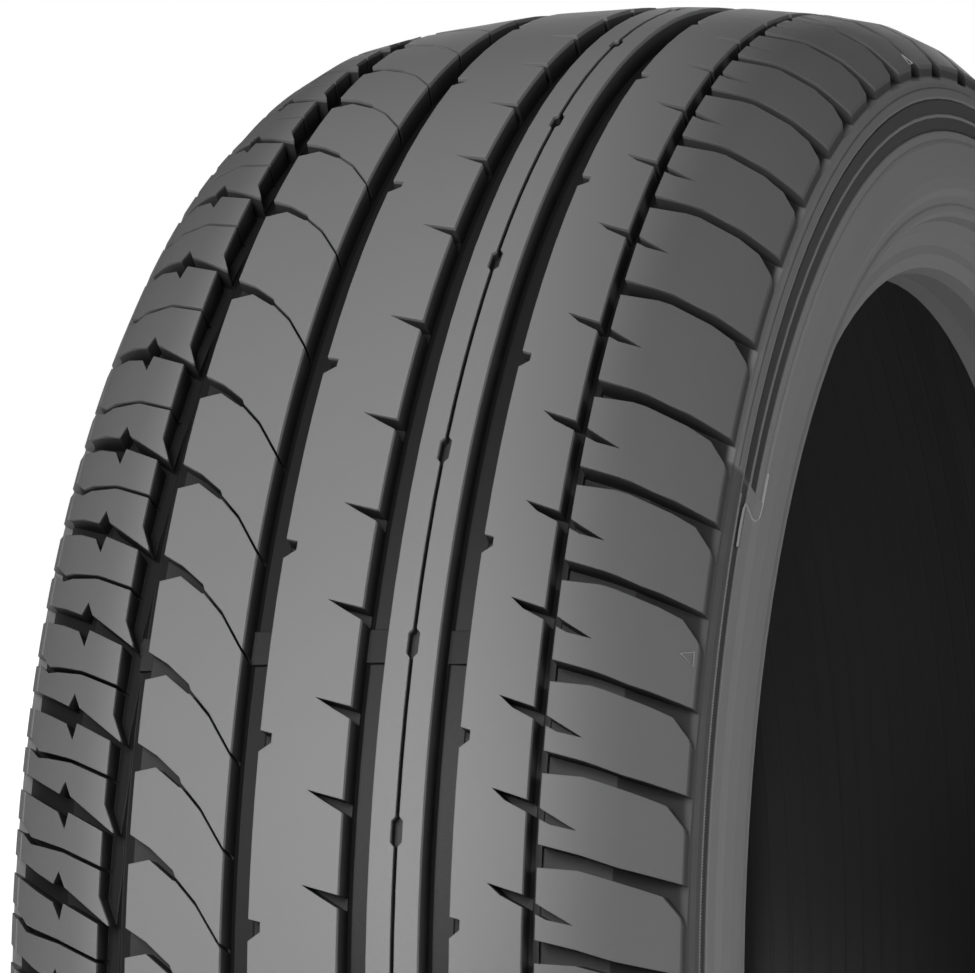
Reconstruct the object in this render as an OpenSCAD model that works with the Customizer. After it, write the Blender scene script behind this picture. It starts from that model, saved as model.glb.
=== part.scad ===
// Car tyre, one moulded piece, 205/45 R18 on a 7.5 inch wide rim.
// Spin axis along Y, middle of the tread at the origin, outboard sidewall towards -Y, Z up.

/* [Overall] */
// outer radius at the middle of the tread
tyre_r = 320.85; // [319:0.05:322]
// half width over the tread blocks
tread_half_w = 100.3; // [99.5:0.1:101]
// half width over the sidewalls
section_half_w = 105.5; // [105:0.1:107]
// fall of the crown for each square mm off the middle
crown_drop = 0.00124; // [0.0011:0.00001:0.0013]
// further fall of the shoulder at its edge
shoulder_fall = 10.4; // [9.5:0.1:11]
// thickness under the middle of the tread, blocks included
crown_t = 16.4; // [15:0.1:18]
// thickness of the sidewall at its widest place
side_t = 8.4; // [7:0.1:9.5]

/* [Bead] */
// radius of the straight bead seat, 18 inch rim
seat_r = 231; // [230.8:0.05:231.2]
// half of the rim width between its flanges
rim_half_w = 95.25; // [94:0.25:96]
// length of the straight bead seat
seat_l = 8; // [6:0.5:9]
// radius step from the seat up to the heel
heel_h = 6; // [5:0.5:7]
// length of the taper from the seat to the toe
toe_l = 6; // [5:0.5:7]
// how much smaller in radius the toe is
toe_h = 1; // [0.5:0.1:1.5]

/* [Round grooves] */
// depth of grooves 1 to 4
groove_d = 7.8; // [7.2:0.1:8.2]
// how much less deep groove 5 is
g5_less = 1; // [0:0.1:2]
// lean of each groove wall
groove_lean = 0.8; // [0.4:0.1:1.2]
// outer edge of groove 1, at the tips of its teeth
g1_a = 63.9; // [63.8:0.1:64.2]
// inner edge of groove 1
g1_b = 58; // [57.5:0.1:58.5]
// edge of groove 2 by rib 2
g2_a = 28; // [27:0.1:29]
// edge of groove 2 by rib 3
g2_b = 19.2; // [18.4:0.1:20]
// edge of groove 3 by rib 3
g3_a = -7.4; // [-8.2:0.1:-6.6]
// edge of groove 3 by the centre rib
g3_b = -16.2; // [-17:0.1:-15.4]
// edge of groove 4 by the centre rib
g4_a = -31.1; // [-31.8:0.1:-30.4]
// edge of groove 4 by rib 4
g4_b = -40.1; // [-40.8:0.1:-39.4]
// edge of groove 5 by rib 4
g5_a = -60.2; // [-60.8:0.1:-59.6]
// edge of groove 5 by the outboard shoulder
g5_b = -64; // [-64.6:0.1:-63.6]
// middle of the slit in the centre rib
slit_y = -23.8; // [-24.4:0.1:-23.2]
// width of the slit
slit_w = 1.2; // [0.8:0.1:1.6]
// depth of the slit
slit_d = 3.4; // [2:0.1:3.6]

/* [Cross grooves] */
// depth of the shoulders' cross grooves
cross_d = 7.8; // [7:0.1:8]
// depth where they run out at the shoulder edge
cross_edge_d = 4.8; // [4.2:0.1:5.2]
// width of the tooth that each shoulder block pushes into groove 1
tooth_w = 3.6; // [3:0.1:4]
// width of a thin slit
thin_w = 1.2; // [0.9:0.1:1.4]
// depth of the cuts and notches in ribs 2 to 4
rib_cut_d = 6.4; // [5:0.1:7]

/* [Wear bars] */
// wear bars in each groove round the tyre
bar_count = 6; // [4:1:8]
// height of a wear bar over the groove floor
bar_h = 1.6; // [1.4:0.1:1.8]
// length of a wear bar
bar_l = 10; // [6:0.5:12]

/* [Hidden] */
rubber = [0.13, 0.13, 0.135];
edge = tread_half_w;
wide = section_half_w;
past = 1;

// the pattern has pitches of four lengths, in this order round the tyre
pitch_w = [4.8, 5.5, 6.1, 7.1];
pitch_seq = [
    0,0,0,1,1,1,3,3,2,2,1,1,1,0,0,2,
    1,3,2,0,1,1,0,0,3,2,2,1,0,0,1,3,
    3,2,1,0,0,0,1,2,1,0,0,1,3,2,1,0,
    0,1,2,3,3,1,0,0,2,1,0,0,2,3,2,1];
pitches = len(pitch_seq);
pitch_start = 15.8;
function pitch_sum(i) = i <= 0 ? 0 : pitch_sum(i - 1) + pitch_w[pitch_seq[i - 1]];
pitch_all = pitch_sum(pitches);
pitch_at = [for (i = [0:pitches]) 360 * pitch_sum(i) / pitch_all];
// angle of a place t pitches along, t may run past one turn either way
function angle_at(t) = let (turn = floor(t / pitches), r = t - turn * pitches, i = floor(r), f = r - i)
    pitch_start + 360 * turn + pitch_at[i] * (1 - f) + pitch_at[min(i + 1, pitches)] * f;

// radius of the tread surface, u off the middle
round_from = 70;
function tread_r(u) = tyre_r - crown_drop * u * u
    - shoulder_fall * pow(max(0, (u - round_from) / (edge - round_from)), 2.45);

// half outline as [half width, radius] from the tread round to the liner
shoulder = [for (u = [79, 90.5, edge]) [u, tread_r(u)]];
// rings of the sidewall, as heights over the bead seat
sidewall = [
    [edge + 0.3, seat_r + 62.6], [edge + 0.5, seat_r + 61], [edge + 1.6, seat_r + 59],
    [edge + 2.1, seat_r + 56.2], [edge + 1.3, seat_r + 55.6], [edge + 1.6, seat_r + 51.4],
    [edge + 2.4, seat_r + 50.8], [edge + 2.4, seat_r + 50], [edge + 1.7, seat_r + 49.4],
    [edge + 2, seat_r + 45.9], [edge + 2.8, seat_r + 45.2], [wide - 2, seat_r + 43.1],
    [wide - 2.4, seat_r + 42.8], [wide - 1.4, seat_r + 41.6], [wide - 0.4, seat_r + 36],
    [wide, seat_r + 31], [wide - 0.4, seat_r + 27], [wide - 1.6, seat_r + 24.6],
    [wide - 2, seat_r + 22.2], [wide - 1.5, seat_r + 21.4], [wide - 1.6, seat_r + 19.6],
    [wide - 2.8, seat_r + 18]];
// hollow that the rim flange lies in
clinch = [
    [rim_half_w + 4.4, seat_r + 16.6], [rim_half_w + 1.4, seat_r + 13.4],
    [rim_half_w, seat_r + 9], [rim_half_w, seat_r + heel_h]];
heel = rim_half_w - heel_h;
toe = heel - seat_l - toe_l;
bead = [
    [rim_half_w - heel_h * 0.3, seat_r + heel_h * 0.3], [heel, seat_r],
    [heel - seat_l, seat_r], [toe, seat_r - toe_h]];
liner_r = tyre_r - crown_t;
liner = [
    [toe - 0.9, seat_r + 0.6], [toe + 2, seat_r + 3.6], [toe + 8, seat_r + 9], [toe + 15, seat_r + 16.5],
    [wide - side_t - 2, seat_r + 26], [wide - side_t, seat_r + 35], [wide - side_t - 0.2, seat_r + 44],
    [edge - 5, liner_r - 20.4], [edge - 9.5, liner_r - 13.4], [edge - 18, liner_r - 8],
    [66, liner_r - 4.4], [34, liner_r - 1.2]];
half_out = concat(shoulder, sidewall, clinch, bead, liner);

// one round groove in the section, from axial place a down to b
function groove(a, b, d, lean_a, lean_b) = [
    [tread_r(a), a], [tread_r(a) - d + 1, a - lean_a], [tread_r(a) - d, a - lean_a - 0.8],
    [tread_r(b) - d, b + lean_b + 0.8], [tread_r(b) - d + 1, b + lean_b], [tread_r(b), b]];

module section() {
    s = slit_y + slit_w / 2;
    e = slit_y - slit_w / 2;
    polygon(concat(
        [for (i = [len(half_out) - 1:-1:0]) [half_out[i][1], half_out[i][0]]],
        groove(g1_a, g1_b, groove_d, 0, groove_lean),
        groove(g2_a, g2_b, groove_d, groove_lean, groove_lean),
        groove(g3_a, g3_b, groove_d, groove_lean, groove_lean),
        [[tread_r(s), s], [tread_r(s) - slit_d, s], [tread_r(s) - slit_d, e], [tread_r(e), e]],
        groove(g4_a, g4_b, groove_d, groove_lean, groove_lean),
        groove(g5_a, g5_b, groove_d - g5_less, 0.3, 0.3),
        [for (p = half_out) [p[1], -p[0]]]));
}

// a bar across the groove from a to b
module wear_bar(a, b) {
    floor_r = min(tread_r(a), tread_r(b)) - groove_d;
    translate([floor_r - 2, -bar_l / 2, b - 0.5]) cube([bar_h + 2, bar_l, a - b + 1]);
}

module plain_tyre() {
    rotate_extrude() section();
    for (i = [0:bar_count - 1]) rotate([0, 0, 180 + 31.6 + i * 360 / bar_count]) {
        wear_bar(g1_a, g1_b);
        wear_bar(g2_a, g2_b);
        wear_bar(g3_a, g3_b);
        wear_bar(g4_a, g4_b);
    }
}

// both sides of a cut from its middle line, given as [along, across, width]
function band(path) = concat(
    [for (p = path) [p[0] + p[2] / 2, p[1]]],
    [for (i = [len(path) - 1:-1:0]) [path[i][0] - path[i][2] / 2, path[i][1]]]);

// outline in [along, across] cut from radius r0 outwards
module cut(outline, r0) {
    rotate([90, 0, 90]) translate([0, 0, r0])
        linear_extrude(height = tyre_r + 10 - r0) polygon(outline);
}
// a cut whose floor follows the shoulder, side is 1 inboard and -1 outboard
module shoulder_cut(outline, side) {
    far = edge + 9;
    knee = 82;
    edge_floor = tread_r(edge) - cross_edge_d;
    knee_floor = tread_r(knee) - cross_d;
    far_floor = edge_floor + (edge_floor - knee_floor) * (far - edge) / (edge - knee);
    intersection() {
        cut(outline, far_floor - 2);
        rotate([90, 0, 0]) translate([0, 0, -30]) linear_extrude(height = 100) polygon([
            [tread_r(g1_b) - cross_d, side * g1_b], [knee_floor, side * knee],
            [far_floor, side * far], [tyre_r + 10, side * far], [tyre_r + 10, side * g1_b]]);
    }
}
module around(t) { rotate([0, 0, 180 + angle_at(t)]) children(); }

// cross groove of the inboard shoulder with two barbs, and the bay it opens along groove 1
module left_groove(bay) {
    in = g1_a - 0.4;
    root = g1_a + tooth_w;
    shoulder_cut([
        [15, 107], [3.4, 84], [6.9, 82], [2.2, 79.4], [-9.3, in], [-bay - 8.9, in],
        [-bay - 0.4, root], [-8.4, root], [-2.4, 79.6], [-7.2, 80.8], [-1.8, 84], [9.6, 107]], 1);
}
// slit between two cross grooves, wider at its outer end
module left_slit() {
    shoulder_cut(band([
        [9.3, edge + past, 3], [3.9, 95.2, 2], [-0.3, 80.6, thin_w], [-6.2, g1_a + tooth_w - past, thin_w]]), 1);
}
// groove of rib 2 that narrows to a thin slit
module rib2_groove() {
    cut(band([
        [-3, g1_b + past, 9.2], [-4.6, 51.4, 3.4], [-10.8, 43.6, 2.8], [-11.8, 42.8, thin_w],
        [-18.9, 36, thin_w], [-32, g2_a - past, thin_w]]), tread_r(45) - rib_cut_d);
}
module rib3_leaf() {
    cut([[0, 3.6], [-3, -8], [-7.6, g3_a - past * 2], [-3.4, -2]], tread_r(4) - rib_cut_d);
}
module rib4_leaf() {
    cut([[0, -50.2], [-3, -60], [-7.2, -67], [-11.3, -74.2], [-9.9, -67], [-3.4, -54]], tread_r(62) - rib_cut_d);
}
// cross groove of the outboard shoulder, with the round corner of the block under it
module right_groove() {
    shoulder_cut([
        [3.2, g5_b + past], [0.4, -75], [-2.6, -85], [-7.4, -108], [-19, -108], [-19, -edge - 0.7],
        [-14.8, -edge + 0.3], [-9.6, -edge + 4.3], [-6.6, -85], [-4, -75], [-3.4, g5_b + past]], -1);
}
// half round notch in the edge at y of a rib, w deep
module rib_notch(y, w) {
    cut([[3.5, y + past], [2.4, y - w], [-0.4, y - w], [-3.6, y + past]], tread_r(y) - rib_cut_d);
}
module slit_pad() {
    cut([[5, slit_y], [3, slit_y + 1.7], [-3, slit_y + 1.7],
        [-5, slit_y], [-3, slit_y - 1.7], [3, slit_y - 1.7]], tread_r(slit_y) - slit_d - 0.2);
}

module tyre_round() {
    difference() {
        plain_tyre();
        for (i = [0:pitches - 1]) {
            bay = tread_r(g1_a) * (angle_at(i + 0.57) - angle_at(i - 0.43)) * PI / 180;
            around(i + 0.57) left_groove(bay);
            around(i + 0.07) left_slit();
        }
        for (i = [0:pitches - 1]) around(i) right_groove();
        for (i = [0:pitches - 1]) {
            around(i + 0.17) rib2_groove();
            around(i + 0.66) rib3_leaf();
            around(i + 0.7) rib4_leaf();
        }
        for (i = [0:2:pitches - 1]) {
            around(i + 0.18) rib_notch(g2_b, 3.6);
            around(i + 0.22) rib_notch(g4_b, 2.8);
            around(i + 1.22) slit_pad();
        }
    }
}

module tyre() {
    color(rubber) rotate([-90, 0, 0]) tyre_round();
}

tyre();
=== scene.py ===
# %% [markdown]
# # A car tyre round its imported solid
# The tyre is one moulding, and the solid already has its blocks, grooves, slits and sidewall rings.
# This lesson loads the solid, gives it rubber that differs from region to region and holds painted
# shade, and adds what
# the solid leaves out: two plain strips of sidewall, a fuller inboard shoulder, and the fine
# moulded work of ribbed bands, knurling and thin raised lines.

# %% Load the tyre
import math

import bmesh
import bpy
from mathutils import Matrix, Vector


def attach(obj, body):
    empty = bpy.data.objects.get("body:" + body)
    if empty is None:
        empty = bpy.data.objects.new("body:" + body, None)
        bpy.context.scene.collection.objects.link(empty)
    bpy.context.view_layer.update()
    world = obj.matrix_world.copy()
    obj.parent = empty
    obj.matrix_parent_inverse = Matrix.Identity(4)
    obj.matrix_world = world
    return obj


MM = 0.001
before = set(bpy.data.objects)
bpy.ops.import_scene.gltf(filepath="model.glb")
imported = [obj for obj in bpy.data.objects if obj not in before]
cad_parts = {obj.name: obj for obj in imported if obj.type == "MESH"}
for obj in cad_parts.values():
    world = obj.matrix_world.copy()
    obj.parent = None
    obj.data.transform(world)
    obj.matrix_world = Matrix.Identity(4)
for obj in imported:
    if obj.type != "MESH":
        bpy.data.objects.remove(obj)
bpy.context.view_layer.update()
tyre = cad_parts["tyre"]
print("faces in the solid:", len(tyre.data.polygons))

# %% [markdown]
# ## Sizes
# A few sizes of the solid are needed again here, because the rubber changes along them and the
# added work sits on them. They could be measured from the mesh, but written down they read better.
# All are in millimetres: `r` is the distance from the spin axis and `y` the place along it.
#
# The outboard sidewall has two wide bands that face each other. The first starts at `BAND_FROM`
# degrees and turns through `BAND_TURN`. A narrow band fills the rest of each half turn, with
# `BAND_GAP` degrees free at both ends. `RIDGE_R` is the ridge between the bands and the shoulder,
# and `RIDGE_HALF` is the half width there.

# %% Sizes of the tyre
TYRE_R = 320.85
TREAD_HALF = 100.3
CROWN_DROP = 0.00124
SHOULDER_FROM = 70
SHOULDER_FALL = 10.4
SHOULDER_POWER = 2.45
BAND_FROM, BAND_TURN, BAND_GAP = 44.5, 100, 1
BAND_REST = 180 - BAND_TURN
RIDGE_R, RIDGE_HALF = 287.2, 102.4


def tread_r(y):
    """Radius of the tread surface, y off the middle."""
    u = abs(y)
    fall = max(0.0, (u - SHOULDER_FROM) / (TREAD_HALF - SHOULDER_FROM)) ** SHOULDER_POWER
    return TYRE_R - CROWN_DROP * u * u - SHOULDER_FALL * fall


def on_tyre(degrees, y, r):
    """A point on the tyre in metres. The angle starts at the front and goes up over the top."""
    a = math.radians(degrees)
    return (-r * math.cos(a) * MM, y * MM, r * math.sin(a) * MM)


print("tread radius at the middle and at the edge:", tread_r(0), round(tread_r(TREAD_HALF), 1))

# %% [markdown]
# ## The camera
# The photograph was taken with a long lens from in front of the tread and a little to the outboard
# side. The camera's place, lens and small roll were worked out from the tyre's outline and grooves,
# so the script writes them down and builds the camera's three axes from its angles.

# %% Camera
PHOTO_W = 975
FOCAL_PX = 5613.36
SENSOR_MM = 36
CAMERA_AT = (-1.71601, -0.58180, 0.43965)
AZIMUTH, ELEVATION, ROLL = -69.7471, 8.4803, -4.3757


def camera_matrix():
    """The camera's world matrix from its place and angles."""
    az, el, roll = (math.radians(v) for v in (AZIMUTH, ELEVATION, ROLL))
    back = Vector((math.sin(az) * math.cos(el), -math.cos(az) * math.cos(el), math.sin(el)))
    side = Vector((0, 0, 1)).cross(back).normalized()
    up = back.cross(side)
    right = side * math.cos(roll) + up * math.sin(roll)
    top = up * math.cos(roll) - side * math.sin(roll)
    turn = Matrix((right, top, back)).transposed().to_4x4()
    return Matrix.Translation(CAMERA_AT) @ turn


camera = bpy.data.objects.new("camera", bpy.data.cameras.new("camera"))
bpy.context.scene.collection.objects.link(camera)
camera.data.sensor_width = SENSOR_MM
camera.data.lens = FOCAL_PX * SENSOR_MM / PHOTO_W
camera.data.clip_start, camera.data.clip_end = 0.05, 50
camera.matrix_world = camera_matrix()
bpy.context.scene.camera = camera
print("lens in mm:", round(camera.data.lens, 1))

# %% [markdown]
# ## Writing shader maths
# Long chains of Math nodes are hard to read. A small class wraps one socket, so that `a * 2 + b`
# adds the nodes by itself, and one method adds any other node: its settings first, then its inputs.


# %% Shader helpers
class Wire:
    """One value in a node tree. Sums and products of wires add Math nodes."""

    def __init__(self, nodes, socket):
        self.nodes, self.socket = nodes, socket

    def maths(self, operation, *parts):
        return self.nodes.add("ShaderNodeMath", {"operation": operation}, dict(enumerate(parts)))

    def __add__(self, other):
        return self.maths("ADD", self, other)

    def __sub__(self, other):
        return self.maths("SUBTRACT", self, other)

    def __rsub__(self, other):
        return self.maths("SUBTRACT", other, self)

    def __mul__(self, other):
        return self.maths("MULTIPLY", self, other)

    def __truediv__(self, other):
        return self.maths("DIVIDE", self, other)

    def __rtruediv__(self, other):
        return self.maths("DIVIDE", other, self)

    def __pow__(self, other):
        return self.maths("POWER", self, other)

    def __abs__(self):
        return self.maths("ABSOLUTE", self)

    __radd__, __rmul__ = __add__, __mul__

    def most(self, other):
        return self.maths("MAXIMUM", self, other)

    def least(self, other):
        return self.maths("MINIMUM", self, other)

    def sine(self):
        return self.maths("SINE", self)

    def sign(self):
        return self.maths("SIGN", self)

    def blend(self, other, share):
        """This value where share is 0, the other where it is 1."""
        return self + (other - self) * share

    def step(self, low, high):
        """0 below low, 1 above high and smooth between them, or the other way if high is lower."""
        flip = high < low
        ends = {1: high, 2: low, 3: 1, 4: 0} if flip else {1: low, 2: high}
        return self.nodes.add(
            "ShaderNodeMapRange", {"interpolation_type": "SMOOTHSTEP"}, {0: self, **ends})


class Nodes:
    """A node tree that is filled in plain Python."""

    def __init__(self, tree):
        self.tree = tree

    def add(self, kind, settings=None, inputs=None, out=0):
        """Adds a node, sets it up, fills its inputs and returns one output as a Wire."""
        node = self.tree.nodes.new(kind)
        for key, value in (settings or {}).items():
            setattr(node, key, value)
        for key, value in (inputs or {}).items():
            self.fill(node.inputs[key], value)
        return Wire(self, node.outputs[out]) if node.outputs else None

    def fill(self, socket, value):
        if isinstance(value, Wire):
            self.tree.links.new(value.socket, socket)
        else:
            socket.default_value = value


class Finish(Nodes):
    """A material: a node tree round one shader."""

    def __init__(self, name):
        self.material = bpy.data.materials.new(name)
        self.material.use_nodes = True
        super().__init__(self.material.node_tree)
        self.shader = self.tree.nodes["Principled BSDF"]

    def set(self, **inputs):
        """Fills the shader's own inputs: base_color sets Base Color."""
        names = {s.name.lower().replace(" ", "_"): s for s in self.shader.inputs}
        for key, value in inputs.items():
            self.fill(names[key], value)

    def mix(self, share, first, second):
        """A colour between two colours."""
        return self.add(
            "ShaderNodeMix", {"data_type": "RGBA", "clamp_factor": True},
            {"Factor": share, 6: first, 7: second}, out=2)

    def parts(self, vector):
        """The three parts of a vector as wires."""
        split = self.add("ShaderNodeSeparateXYZ", inputs={0: vector}).socket.node
        return [Wire(self, split.outputs[i]) for i in range(3)]

    def place(self):
        """Object coordinates in mm as three wires, and the distance from the spin axis."""
        spot = self.add("ShaderNodeTexCoord", out="Object")
        x, y, z = (part * 1000 for part in self.parts(spot))
        return x, y, z, (x * x + z * z) ** 0.5

    def noise(self, scale, detail):
        """Noise from 0 to 1, scale in spots per metre."""
        spot = self.add("ShaderNodeTexCoord", out="Object")
        return self.add(
            "ShaderNodeTexNoise", inputs={"Vector": spot, "Scale": scale, "Detail": detail})


def grey(level):
    """A colour as bright as a picture's grey level from 0 to 255, with a trace of blue."""
    share = level / 255
    linear = ((share + 0.055) / 1.055) ** 2.4
    return (linear, linear, linear * 1.01, 1)


print("a picture grey of 138 is", round(grey(138)[0], 3), "in linear light")

# %% [markdown]
# ## Round where the solid is flat
# The solid's round surfaces come as flat facets, a few degrees each. A facet's normal is split
# into its parts outwards, round the axis and along it. Where the part round the axis is small, the
# face belongs to a turned surface, and that part is folded into the outward one, which gives the
# true normal. On top of the blocks the crown's own slope takes over.
#
# Here and below, a pair of limits is a soft border. It says no at its first value, yes at its
# second, and changes smoothly between them.

# %% Normals of the turned surfaces
TURNED_AROUND = 0.060, 0.045
TOP_DEPTH = 1.6, 1.3
TOP_OUTWARD = 0.4, 0.5
TOP_SIDE = TREAD_HALF + 0.1, TREAD_HALF - 0.3
EDGE_ROUND = 0.45


def shoulder_share(side):
    """How far down the shoulder a place is, from 0 where it starts to 1 at the tread's edge."""
    return ((side - SHOULDER_FROM) / (TREAD_HALF - SHOULDER_FROM)).most(0)


def turned_normal(f, x, y, z, r, depth):
    """The solid's normal with the facets of its turned surfaces made round."""
    flat = f.add("ShaderNodeTexCoord", out="Normal")
    flat_x, flat_y, flat_z = f.parts(flat)
    out_x, out_z = x / r, z / r
    outward = flat_x * out_x + flat_z * out_z
    around = flat_z * out_x - flat_x * out_z
    turned = abs(around).step(*TURNED_AROUND)
    outward_round = outward.sign() * (outward * outward + around * around) ** 0.5

    side = abs(y)
    steepness = SHOULDER_FALL * SHOULDER_POWER / (TREAD_HALF - SHOULDER_FROM)
    shoulder_slope = shoulder_share(side) ** (SHOULDER_POWER - 1) * steepness
    slope = side * (2 * CROWN_DROP) + shoulder_slope
    length = (slope * slope + 1) ** 0.5
    on_top = depth.step(*TOP_DEPTH) * outward.step(*TOP_OUTWARD) * side.step(*TOP_SIDE)
    n_out = outward_round.blend(1 / length, on_top)
    n_y = flat_y.blend(slope / length * y.sign(), on_top)

    smooth = f.add("ShaderNodeCombineXYZ", inputs={0: out_x * n_out, 1: n_y, 2: out_z * n_out})
    chosen = f.add(
        "ShaderNodeMix", {"data_type": "VECTOR"}, {"Factor": turned, 4: flat, 5: smooth}, out=1)
    world = f.add(
        "ShaderNodeVectorTransform",
        {"vector_type": "NORMAL", "convert_from": "OBJECT", "convert_to": "WORLD"}, {0: chosen})
    return f.add("ShaderNodeBevel", {"samples": 6}, {"Radius": EDGE_ROUND * MM, "Normal": world})


print("edges look rounded to", EDGE_ROUND, "mm")

# %% [markdown]
# ## The rubber
# One moulding has one rubber, but it doesn't look the same everywhere. The tread blocks are satin,
# the sidewall is smoother, and the inside keeps the marks of the bladder that pressed it. The
# colour
# also holds painted shade: dark grooves that get darker the deeper they are, a darker outboard side
# and shoulders, and dark sunk bands and rim on the outboard sidewall. Separate materials would need
# cut faces, so one material tells the regions apart by radius and by place along the axis.

# %% Rubber of the moulding
# Borders on the tread: by depth under its surface, by y, by distance from the middle and by radius.
# The depth, y and middle borders also place painted shade.
BLOCK_DEPTH = 1.5, 0.9
GROOVE_SHADE_DEPTH = 1.5, 7.0
OUTBOARD_SHADE_Y = -22, -80
SHOULDER_SHADE_SIDE = 60, 78
TREAD_SIDE = TREAD_HALF + 5, TREAD_HALF + 4
TREAD_FOOT_R = 289, 290
# Borders on the outboard wall: its y, the top of the plain part, the bands and the rim above them.
# `WALL_LEAN` is how much the half width grows for each mm further in.
WALL_Y = -90, -95
WALL_TOP_R = 294.5, 293.5
BAND_INNER_R, BAND_OUTER_R = (275.0, 275.8), (291, 290.4)
BAND_SUNK = 0.25, 0.6
WALL_LEAN = 0.064
RIM_INNER_R, RIM_OUTER_R = (287.4, 287.8), (297, 295)
# Borders of the liner. Its half width grows with the radius up to a straight part.
LINER_GROWTH, LINER_START, LINER_HALF = 0.6, 57.5, 98
LINER_EDGE, LINER_DEPTH, LINER_FOOT_R = (0, 0.6), (10.5, 11.5), (231.3, 231.8)
# The moulded skin that every rubber has.
GRAIN_SCALE, GRAIN_DETAIL = 1900, 3.0
GRAIN_BUMP = {"Strength": 0.2, "Distance": 0.0002}
ROUGHNESS, ROUGHNESS_SPREAD = 0.55, 0.12
SHEEN = 0.35


def moulded_rubber():
    """The rubber of the solid, with its regions."""
    f = Finish("moulded_rubber")
    x, y, z, r = f.place()
    side = abs(y)
    fall = shoulder_share(side) ** SHOULDER_POWER
    surface = TYRE_R - side * side * CROWN_DROP - fall * SHOULDER_FALL
    depth = surface - r

    in_tread = side.step(*TREAD_SIDE) * r.step(*TREAD_FOOT_R)
    shoulder = side.step(*SHOULDER_SHADE_SIDE)
    outboard = y.step(*OUTBOARD_SHADE_Y)
    outer_wall = y.step(*WALL_Y)
    inside = in_liner(side, r, depth)

    fine = f.noise(GRAIN_SCALE, GRAIN_DETAIL)
    cloudy = f.noise(14, 2.0)
    # Painted shade: the blocks grow darker towards the outboard side.
    shaded_middle_block = f.mix(outboard, grey(128), grey(100))
    # Painted shade: the shoulder blocks, which turn away from the light, are darker than the middle
    # ones.
    shaded_shoulder_block = f.mix(outboard, grey(106), grey(86))
    block = f.mix(cloudy * 0.2, f.mix(shoulder, shaded_middle_block, shaded_shoulder_block), grey(110))
    # Painted shade: the groove walls are dark and the floors darker, the deeper they lie.
    groove = f.mix(depth.step(*GROOVE_SHADE_DEPTH), grey(60), grey(28))
    tread = f.mix(depth.step(*BLOCK_DEPTH), groove, block)

    wall = f.mix(cloudy * 0.5, grey(118), grey(125))
    # Painted shade on the outboard sidewall: dark in its sunk bands and on the rim under the
    # tread's edge.
    wall = f.mix(band_painted_shade(x, y, z, r) * outer_wall, wall, grey(60))
    edge_part = r.step(*WALL_TOP_R) * outer_wall
    outside = f.mix(in_tread * (1 - edge_part), wall, tread)

    liner = f.mix(cloudy, grey(44), grey(56))
    f.set(
        base_color=f.mix(inside, outside, liner),
        roughness=ROUGHNESS - inside * 0.1 + (fine - 0.5) * ROUGHNESS_SPREAD,
        normal=rubber_relief(f, fine, inside, y, r, turned_normal(f, x, y, z, r, depth)),
    )
    f.shader.inputs["Specular IOR Level"].default_value = SHEEN
    return f.material


def in_liner(side, r, depth):
    """1 on the inner walls of the tyre, 0 outside."""
    wall_side = (r * LINER_GROWTH - LINER_START).least(LINER_HALF)
    return (wall_side - side).step(*LINER_EDGE) * depth.step(*LINER_DEPTH) * r.step(*LINER_FOOT_R)


def band_painted_shade(x, y, z, r):
    """1 where the outboard sidewall gets painted shade: in the wide bands, and from the narrow ones
    up.
    """
    # The cosine of twice the angle off a band's middle is the same for both wide bands.
    middle = math.radians(2 * (BAND_FROM + BAND_TURN / 2))
    turn = ((x * x - z * z) * math.cos(middle) - x * z * (2 * math.sin(middle))) / (r * r)
    reach = math.cos(math.radians(BAND_TURN))
    wide = turn.step(reach - 0.01, reach + 0.01)
    flush = (RIDGE_R - r) * WALL_LEAN + RIDGE_HALF
    sunk = (flush + y).step(*BAND_SUNK) * r.step(*BAND_INNER_R) * r.step(*BAND_OUTER_R)
    # Painted shade under the tread's edge, lighter across the wide bands.
    rim_painted_shade = r.step(*RIM_INNER_R) * r.step(*RIM_OUTER_R) * 0.85
    return (sunk * wide).most((1 - wide) * sunk.most(rim_painted_shade)).most(wide * rim_painted_shade * 0.35)


def rubber_relief(f, fine, inside, y, r, normal):
    """Bump of the moulded skin, with slanted bladder lines on the inside."""
    bladder = (y * 0.9 + r * 0.5).sine().step(0.80, 1.0) * inside
    skin = f.add("ShaderNodeBump", inputs={**GRAIN_BUMP, "Height": fine, "Normal": normal})
    return f.add(
        "ShaderNodeBump",
        inputs={"Strength": 0.3, "Distance": 0.0003, "Height": bladder, "Normal": skin})


tyre.data.materials.clear()
tyre.data.materials.append(moulded_rubber())
print("rubber nodes:", len(tyre.data.materials[0].node_tree.nodes))

# %% [markdown]
# ## The wall that the fine work sits on
# The outboard sidewall is a few straight stretches between rings. A short table gives its half
# width at the radii where it bends, and a sunk band is `BAND_DEPTH` deeper than that. The ribs of
# the wide bands stand in it, and the points of the knurling stand on the ridge. `TOOTH_FOOT` is
# how far a tooth goes into the rubber under it.

# %% Outboard wall
WALL = [(272.6, 104.1), (276.2, 103.1), (282.0, 102.7), (RIDGE_R, RIDGE_HALF), (290.0, 101.9)]
BAND_DEPTH = 0.8
TOOTH_FOOT = 0.3
RIB_R, RIB_HALF, RIB_INNER, RIB_OUTER, RIB_UNDER_WALL = 281, 0.34, 277.0, 286.2, 0.1
KNURL_R, KNURL_HALF, KNURL_REACH, KNURL_HEIGHT = 286.8, 0.42, 0.55, 0.2


def wall_y(r, lift):
    """The outboard wall at radius r, lifted by some mm out of it."""
    for (r0, u0), (r1, u1) in zip(WALL, WALL[1:]):
        if r <= r1:
            break
    return -(u0 + (u1 - u0) * (r - r0) / (r1 - r0) + lift)


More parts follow.
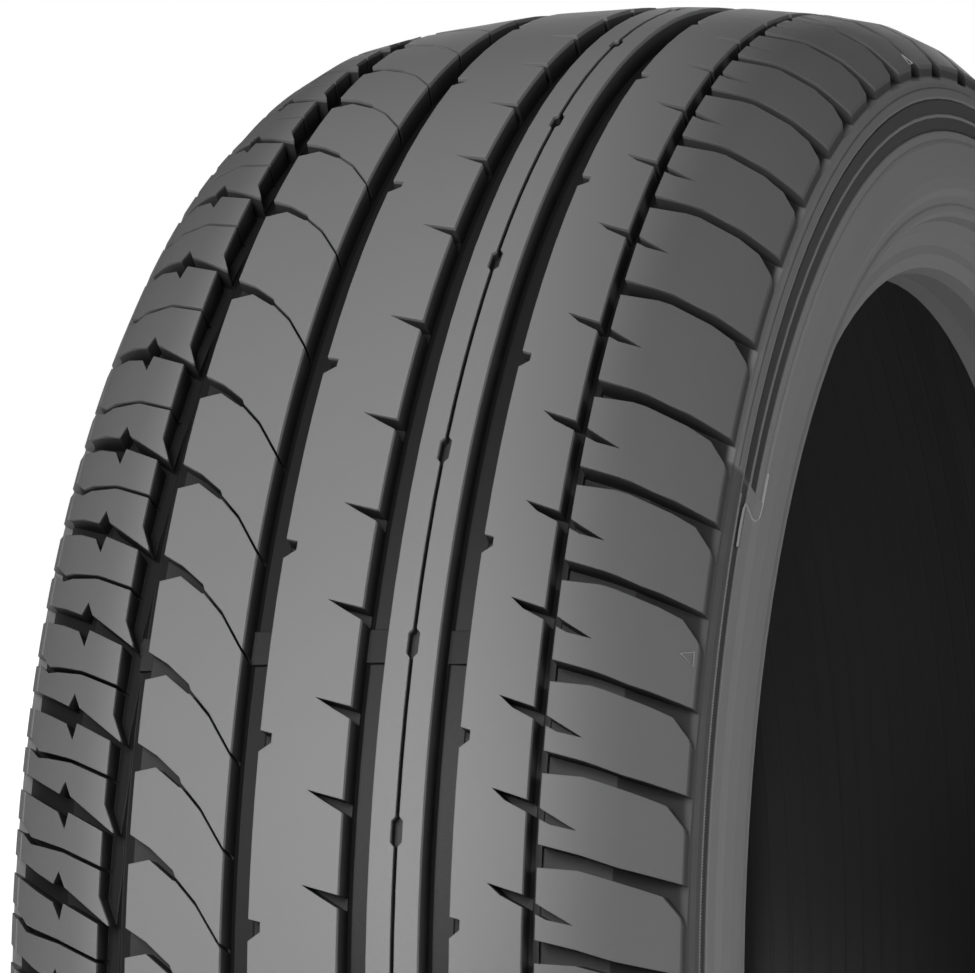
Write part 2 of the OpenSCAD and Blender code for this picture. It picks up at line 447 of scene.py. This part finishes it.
def solid_mesh(name, points, faces):
    """A mesh from points in metres, with its faces turned outwards."""
    mesh = bpy.data.meshes.new(name)
    mesh.from_pydata(points, [], faces)
    shell = bmesh.new()
    shell.from_mesh(mesh)
    bmesh.ops.recalc_face_normals(shell, faces=shell.faces)
    shell.to_mesh(mesh)
    shell.free()
    return mesh


def ribbing_tooth():
    """One rib of a wide band: a low roof from the band's inner rim to its outer one."""
    step = math.degrees(RIB_HALF / RIB_R)
    points = []
    for r in (RIB_INNER, RIB_OUTER):
        floor_y = wall_y(r, -BAND_DEPTH - TOOTH_FOOT)
        points += [on_tyre(-step, floor_y, r), on_tyre(step, floor_y, r)]
        points.append(on_tyre(0, wall_y(r, -RIB_UNDER_WALL), r))
    return solid_mesh("ribbing_tooth", points, [
        (0, 1, 2), (3, 4, 5), (0, 1, 4, 3), (1, 2, 5, 4), (2, 0, 3, 5)])


def knurl_tooth():
    """One point of the knurled ridge: a small pyramid with its foot in the ridge."""
    step = math.degrees(KNURL_HALF / KNURL_R)
    inner, outer = KNURL_R - KNURL_REACH, KNURL_R + KNURL_REACH
    corners = [(-step, inner), (step, inner), (step, outer), (-step, outer)]
    points = [on_tyre(a, wall_y(r, -TOOTH_FOOT), r) for a, r in corners]
    points.append(on_tyre(0, wall_y(KNURL_R, KNURL_HEIGHT), KNURL_R))
    return solid_mesh("knurl_tooth", points, [
        (0, 1, 2, 3), (0, 1, 4), (1, 2, 4), (2, 3, 4), (3, 0, 4)])


print("a rib stands at y =", round(wall_y(RIB_R, 0), 2), "mm")

# %% [markdown]
# ## Turned strips
# The real sidewall has its wide ribbed bands only above and below the middle. Between them the wall
# is plain up to a narrow band, so two strips lie flush over the rings of the solid there. On the
# inboard side the shoulder is fuller than the solid's: a ring fills the flank, and above it each
# half block gets a heel that stops at the cross grooves and slits, so that they stay open.


# %% Strips
def ring_faces(a, b, corners):
    """The faces between two rows of corners, whose first points are a and b."""
    after = [(k + 1) % corners for k in range(corners)]
    return [(a + k, a + after[k], b + after[k], b + k) for k in range(corners)]


def turned_shell(outline, start, turn, slant=0):
    """Points and faces of an outline in (r, y) that is turned about the spin axis.

    The slant leans the ends along the axis, in degrees a mm off the edge of the tread."""
    steps = max(2, round(turn))
    whole = turn == 360
    rows = steps if whole else steps + 1
    corners = len(outline)
    points = [
        on_tyre(start + turn * i / steps + slant * (y - TREAD_HALF), y, r)
        for i in range(rows) for r, y in outline]
    faces = []
    for i in range(steps):
        faces += ring_faces(i * corners, (i + 1) % rows * corners, corners)
    if not whole:
        faces += [tuple(range(corners)), tuple(range(len(points) - corners, len(points)))]
    return points, faces


def piece_of(name, shells, material):
    """One piece of the tyre from several closed shells."""
    points, faces = [], []
    for shell_points, shell_faces in shells:
        faces += [tuple(k + len(points) for k in face) for face in shell_faces]
        points += shell_points
    mesh = solid_mesh(name, points, faces)
    mesh.materials.append(material)
    piece = bpy.data.objects.new(name, mesh)
    bpy.context.scene.collection.objects.link(piece)
    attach(piece, "root")


def skin_rubber(name, level):
    """Plain rubber of one brightness for added pieces, with the same moulded grain."""
    f = Finish(name)
    fine = f.noise(GRAIN_SCALE, GRAIN_DETAIL)
    bump = f.add("ShaderNodeBump", inputs={**GRAIN_BUMP, "Height": fine})
    roughness = ROUGHNESS + (fine - 0.5) * ROUGHNESS_SPREAD
    f.set(base_color=grey(level), roughness=roughness, normal=bump)
    f.shader.inputs["Specular IOR Level"].default_value = SHEEN
    return f.material


wall_rubber = skin_rubber("wall_rubber", 121)
FLUSH = [
    (272.0, -104.2), (272.6, -104.15), (276.2, -103.15), (281.9, -102.75), (282.1, -102.4),
    (282.0, -101.5), (272.4, -102.2)]
for half in (0, 1):
    start = BAND_FROM + BAND_TURN + 180 * half
    piece_of(f"plain_band_{half + 1}", [turned_shell(FLUSH, start, BAND_REST)], wall_rubber)

flank_rubber = skin_rubber("flank_rubber", 112)
FLANK = [
    (290.6, 101.0), (290.6, 104.8), (286.0, 105.4), (270.0, 105.45), (266.5, 105.0),
    (272.0, 101.5)]
piece_of("inboard_flank", [turned_shell(FLANK, 0, 360)], flank_rubber)

# The pitches of the tread are of four lengths, in the same order as in the solid.
PITCH_WIDTHS = (4.8, 5.5, 6.1, 7.1)
PITCH_ORDER = "0001113322111002132011003221001332100012100132100123310021002321"
FIRST_PITCH = 15.8
widths = [PITCH_WIDTHS[int(c)] for c in PITCH_ORDER]
starts = [FIRST_PITCH + 360 * sum(widths[:i]) / sum(widths) for i in range(len(widths) + 1)]


def pitch_angle(i, share):
    """The angle at a share of pitch i."""
    return starts[i] + (starts[i + 1] - starts[i]) * share


# Each pitch has a slit and a cross groove. They are placed at a share of the pitch, and the spans
# are their two sides at the tread's edge, in degrees on from that place.
SLIT_AT, SLIT_SPAN = 0.07, (1.30, 1.92)
CROSS_AT, CROSS_SPAN = 0.57, (1.21, 2.23)
CUT_SLANT = 0.1
HEEL = [
    (298.1, 99.7), (298.35, 100.4), (292.1, 104.6), (290.2, 104.8), (290.2, 101.0),
    (296.5, 99.0)]
heels = []
for i in range(len(widths)):
    slit, cross = pitch_angle(i, SLIT_AT), pitch_angle(i, CROSS_AT)
    last = i + 1 == len(widths)
    after = pitch_angle(0, SLIT_AT) + 360 if last else pitch_angle(i + 1, SLIT_AT)
    for start, end in (
            (slit + SLIT_SPAN[1], cross + CROSS_SPAN[0]),
            (cross + CROSS_SPAN[1], after + SLIT_SPAN[0])):
        heels.append(turned_shell(HEEL, start, end - start, CUT_SLANT))
piece_of("inboard_block_heels", heels, flank_rubber)
print("heels on the inboard blocks:", len(heels))

# %% [markdown]
# ## One tooth, turned along an arc
# The ribbing and the knurling repeat one tooth hundreds of times. Each tooth is modelled in its
# place at the front of the tyre, so a copy needs no moving: Geometry Nodes only turns it round the
# spin axis, by an angle that grows with the copy's number. The arcs stop `ARC_MARGIN` degrees
# short of a band's ends.

# %% Arc of copies
ARC_INPUTS = [("Count", "Int"), ("From", "Float"), ("Turn", "Float"), ("Material", "Material")]
ARC_MARGIN = 0.3
RIB_PITCH, KNURL_PITCH = 0.9, 0.87


def arc_tree():
    """A node group that turns copies of its mesh through an arc, with the ends included."""
    tree = bpy.data.node_groups.new("arc_of_copies", "GeometryNodeTree")
    for name, kind in [("Geometry", "Geometry")] + ARC_INPUTS:
        tree.interface.new_socket(name, in_out="INPUT", socket_type="NodeSocket" + kind)
    tree.interface.new_socket("Geometry", in_out="OUTPUT", socket_type="NodeSocketGeometry")
    g = Nodes(tree)
    given = g.add("NodeGroupInput").socket.node
    tooth, count, start, turn, material = (Wire(g, given.outputs[i]) for i in range(5))
    angle = start + turn * g.add("GeometryNodeInputIndex") / (count - 1)
    spin = g.add("ShaderNodeCombineXYZ", inputs={1: angle})
    spots = g.add("GeometryNodePoints", inputs={"Count": count})
    copies = g.add("GeometryNodeInstanceOnPoints", inputs={
        "Points": spots, "Instance": tooth, "Rotation": spin})
    real = g.add("GeometryNodeRealizeInstances", inputs={0: copies})
    named = g.add("GeometryNodeSetMaterial", inputs={"Geometry": real, "Material": material})
    g.add("NodeGroupOutput", inputs={0: named})
    return tree


def along_arc(name, tooth, pitch_mm, r, start, turn, material):
    """A piece of the tyre: the tooth repeated at a pitch, along an arc in degrees."""
    holder = bpy.data.objects.new(name, tooth)
    bpy.context.scene.collection.objects.link(holder)
    modifier = holder.modifiers.new("arc", "NODES")
    modifier.node_group = ARC
    values = {
        "Count": int(math.radians(turn) * r / pitch_mm) + 1,
        "From": math.radians(start), "Turn": math.radians(turn), "Material": material}
    for item in ARC.interface.items_tree:
        if item.in_out == "INPUT" and item.name in values:
            modifier[item.identifier] = values[item.name]
    seen = holder.evaluated_get(bpy.context.evaluated_depsgraph_get())
    mesh = bpy.data.meshes.new_from_object(seen)
    holder.modifiers.remove(modifier)
    holder.data = mesh
    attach(holder, "root")


ARC = arc_tree()
# The ribs are dark rubber as painted shade between them, and the knurl points are light rubber as a
# painted highlight.
ribbed, knurled = skin_rubber("ribbed_rubber", 70), skin_rubber("knurled_rubber", 135)
for half in (0, 1):
    wide = BAND_FROM + 180 * half
    narrow = wide + BAND_TURN + BAND_GAP
    along_arc(
        f"band_ribbing_{half + 1}", ribbing_tooth(), RIB_PITCH, RIB_R,
        wide + ARC_MARGIN, BAND_TURN - 2 * ARC_MARGIN, ribbed)
    along_arc(
        f"ridge_knurling_{half + 1}", knurl_tooth(), KNURL_PITCH, KNURL_R,
        narrow + ARC_MARGIN, BAND_REST - 2 * BAND_GAP - 2 * ARC_MARGIN, knurled)

# %% [markdown]
# ## Thin moulded lines
# Where a wide band gives way to a narrow one, a thin raised line curls round the end of the band.
# A small triangle on the shoulder shows where the wear bars are, six times round the tyre. Both are
# a narrow roof drawn along a path of points given as angle, y and radius.

# %% Raised lines
LINE_FOOT = 0.2
WALL_OUTWARD = 0.3


def raised_line(points, width, height, closed=False):
    """A roof-shaped bead along points on the tyre, given as (degrees, y, r), in mm."""
    path = [Vector(on_tyre(*p)) for p in points]
    count = len(path)
    verts = []
    for i, spot in enumerate(path):
        a, y, r = points[i]
        ahead = path[(i + 1) % count if closed else min(i + 1, count - 1)]
        before = path[i - 1 if closed or i else 0]
        out = Vector(on_tyre(a, 0, r)).normalized()
        if abs(y) >= TREAD_HALF:
            out = out * WALL_OUTWARD + Vector((0, math.copysign(1, y), 0))
        out.normalize()
        across = (ahead - before).cross(out).normalized() * width / 2 * MM
        foot = spot - out * LINE_FOOT * MM
        verts += [tuple(p) for p in (foot - across, foot + across, spot + out * height * MM)]
    faces = []
    for i in range(count if closed else count - 1):
        faces += ring_faces(3 * i, 3 * ((i + 1) % count), 3)
    if not closed:
        faces += [(0, 1, 2), (3 * count - 3, 3 * count - 2, 3 * count - 1)]
    return verts, faces


# Painted highlight: the curls and wear markers are lighter rubber than the wall round them.
line_rubber = skin_rubber("line_rubber", 150)
# A curl's points are radius and degrees in from the end of the wide band.
CURL = [
    (283.3, -4.4), (283.4, -2.7), (283.1, -1.8), (282.4, -1.4), (280.4, -1.5), (277.2, -1.65),
    (275.0, -1.6), (273.2, -1.2), (272.7, -0.4), (272.7, 0.9), (272.7, 2.2)]
CURL_WIDTH, CURL_HEIGHT = 0.9, 0.3
middle = BAND_FROM + BAND_TURN / 2
curls = []
for half in (0, 180):
    for way in (-1, 1):
        path = [
            (middle + half + way * (BAND_TURN / 2 - along), wall_y(r, 0), r) for r, along in CURL]
        curls.append(raised_line(path, CURL_WIDTH, CURL_HEIGHT))
piece_of("band_end_curls", curls, line_rubber)

# A marker's corners are y and degrees on from the wear bar's angle.
MARKER = [(-96.5, 3.89), (-99.4, 4.17), (-99.5, 3.36)]
MARKER_WIDTH, MARKER_HEIGHT = 0.5, 0.25
WEAR_BARS, FIRST_WEAR_BAR = 6, 28
markers = []
for i in range(WEAR_BARS):
    bar = FIRST_WEAR_BAR + 360 // WEAR_BARS * i
    path = [(bar + along, y, tread_r(y)) for y, along in MARKER]
    markers.append(raised_line(path, MARKER_WIDTH, MARKER_HEIGHT, closed=True))
piece_of("wear_markers", markers, line_rubber)

# %% [markdown]
# ## Light and floor
# The photograph is a studio picture: broad soft light from in front, white behind, no hard shadow.
# Two large lamps and a dim even world do that, and a third lamp lights the far side for other
# views. The backdrop is white only to the camera, so that it adds no light of its own.

# %% Studio
WORLD_LIGHT = 0.13
FLOOR_REACH, FLOOR_UNDER = 4.0, 0.0005
FLOOR_GLOW, GLOW_SHARE = 1.85, 0.5
WHITE = (1, 1, 1, 1)


def softbox(name, at, target, size, watts):
    """A square area lamp that faces a target point."""
    lamp = bpy.data.objects.new(name, bpy.data.lights.new(name, "AREA"))
    bpy.context.scene.collection.objects.link(lamp)
    lamp.data.shape = "SQUARE"
    lamp.data.size, lamp.data.energy = size, watts
    lamp.location = at
    lamp.rotation_euler = (Vector(target) - Vector(at)).to_track_quat("-Z", "Y").to_euler()


softbox("front_box", (-2.45, 0.1, 1.5), (0, 0, 0.1), 1.3, 58)
softbox("side_box", (-0.9, -2.6, 0.7), (0, 0, 0.1), 1.2, 20)
softbox("back_box", (2.6, 0.6, 0.2), (0, 0, 0), 1.2, 16)

world = bpy.data.worlds.new("studio")
bpy.context.scene.world = world
world.use_nodes = True
nodes, links = world.node_tree.nodes, world.node_tree.links
plain, seen = nodes["Background"], nodes.new("ShaderNodeBackground")
plain.inputs["Color"].default_value = WHITE
plain.inputs["Strength"].default_value = WORLD_LIGHT
seen.inputs["Color"].default_value = WHITE
seen.inputs["Strength"].default_value = 1.0
ray, pick = nodes.new("ShaderNodeLightPath"), nodes.new("ShaderNodeMixShader")
links.new(ray.outputs["Is Camera Ray"], pick.inputs[0])
links.new(plain.outputs[0], pick.inputs[1])
links.new(seen.outputs[0], pick.inputs[2])
links.new(pick.outputs[0], nodes["World Output"].inputs["Surface"])

floor_mesh = bpy.data.meshes.new("floor")
low = -TYRE_R * MM - FLOOR_UNDER
floor_mesh.from_pydata(
    [(sx * FLOOR_REACH, sy * FLOOR_REACH, low) for sx, sy in ((-1, -1), (1, -1), (1, 1), (-1, 1))],
    [], [(0, 1, 2, 3)])
floor = bpy.data.objects.new("floor", floor_mesh)
bpy.context.scene.collection.objects.link(floor)
pale = Finish("pale_floor")
pale.set(base_color=grey(240), roughness=0.8)
glow = pale.add("ShaderNodeEmission", inputs={"Color": WHITE, "Strength": FLOOR_GLOW})
to_camera = pale.add("ShaderNodeLightPath", out="Is Camera Ray")
seen_floor = pale.add("ShaderNodeMixShader", inputs={
    0: to_camera * GLOW_SHARE, 1: Wire(pale, pale.shader.outputs[0]), 2: glow})
pale.tree.links.new(seen_floor.socket, pale.tree.nodes["Material Output"].inputs["Surface"])
floor_mesh.materials.append(pale.material)
bpy.context.scene.view_settings.view_transform = "Standard"
